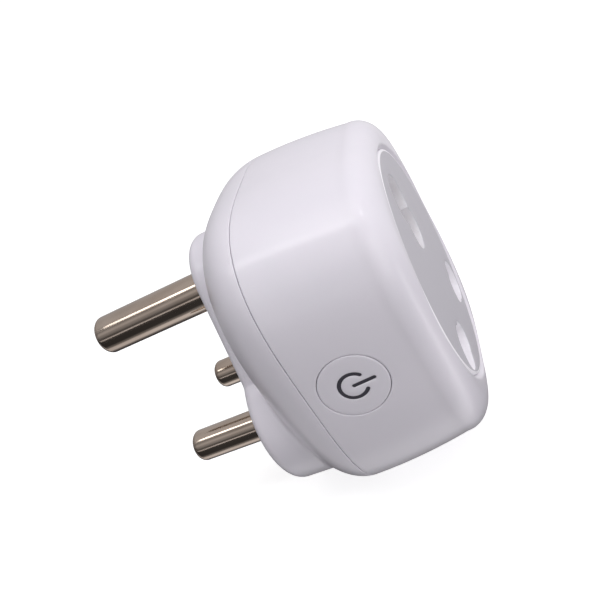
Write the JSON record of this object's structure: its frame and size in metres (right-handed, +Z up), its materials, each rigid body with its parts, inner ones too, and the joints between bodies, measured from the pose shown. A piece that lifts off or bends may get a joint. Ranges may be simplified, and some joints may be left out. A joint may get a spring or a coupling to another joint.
{
  "type": "plug-in power meter",
  "caption": "Plug-in power meter for a round-pin wall socket: squarish domed body, pass-through outlet in front, power button on its side.",
  "frame": {"origin": "centre of the flat rear face that meets the wall socket", "axes": "+Y into the wall along the pins, +Z up with the earth pin on top, +X to the right when facing the outlet"},
  "size_m": [0.0626, 0.0738, 0.0638],
  "materials": {
    "shell_white": "satin moulded plastic with a faint lavender tint",
    "plate_white": "fine matt moulded plastic",
    "pin_nickel": "nickel plate over turned brass",
    "contact_brass": "stamped strip",
    "bright_steel": "zinc plated",
    "board_green": "solder mask",
    "black_plastic": "moulded",
    "film_yellow": "potted case",
    "sleeve_blue": "shrink sleeve",
    "varistor_blue": "epoxy dip",
    "resistor_green": "lacquer",
    "winding_copper": "enamelled wire",
    "shunt_alloy": "rolled strip",
    "icon_grey": "dark translucent",
    "led_lens": "clear resin"
  },
  "bodies": {
    "plug_body": {"front_housing": "shell_white", "rear_housing": "shell_white", "face_plate": "plate_white", "shutter_springs": "bright_steel", "contact_block": "plate_white", "contact_block_screws": "bright_steel", "earth_contact": "contact_brass", "line_contact": "contact_brass", "neutral_contact": "contact_brass", "earth_pin": "pin_nickel", "line_pin": "pin_nickel", "neutral_pin": "pin_nickel", "pin_retainer": "black_plastic", "retainer_screws": "bright_steel", "earth_strap": "contact_brass", "power_board": "board_green", "power_board_screws": "bright_steel", "relay": "black_plastic", "mains_capacitor": "film_yellow", "bulk_capacitor_1": "sleeve_blue", "bulk_capacitor_2": "sleeve_blue", "varistor": "varistor_blue", "fusible_resistor": "resistor_green", "filter_choke": "winding_copper", "shunt_resistor": "shunt_alloy", "metering_chip": "black_plastic", "supply_chip": "black_plastic", "radio_board": "board_green", "radio_shield": "bright_steel", "radio_header": "black_plastic", "button_board": "board_green", "button_board_header": "black_plastic", "tact_switch": "black_plastic", "status_led": "led_lens"},
    "button": {"button_cap": "shell_white", "button_icon": "icon_grey", "switch_plunger": "plate_white"},
    "shutter_slide": {"shutter": "plate_white"}
  },
  "joints": [
    {"name": "button_press", "type": "slide", "parent": "plug_body", "child": "button", "axis": [1, 0, 0], "range_m": [0, 0.0003], "stiffness_N_per_m": 2000, "springref_m": -0.0003},
    {"name": "shutter_lift", "type": "slide", "parent": "plug_body", "child": "shutter_slide", "axis": [0, 0, 1], "range_m": [0, 0.0098], "stiffness_N_per_m": 80, "springref_m": -0.006, "deforming": ["shutter_springs"]}
  ]
}
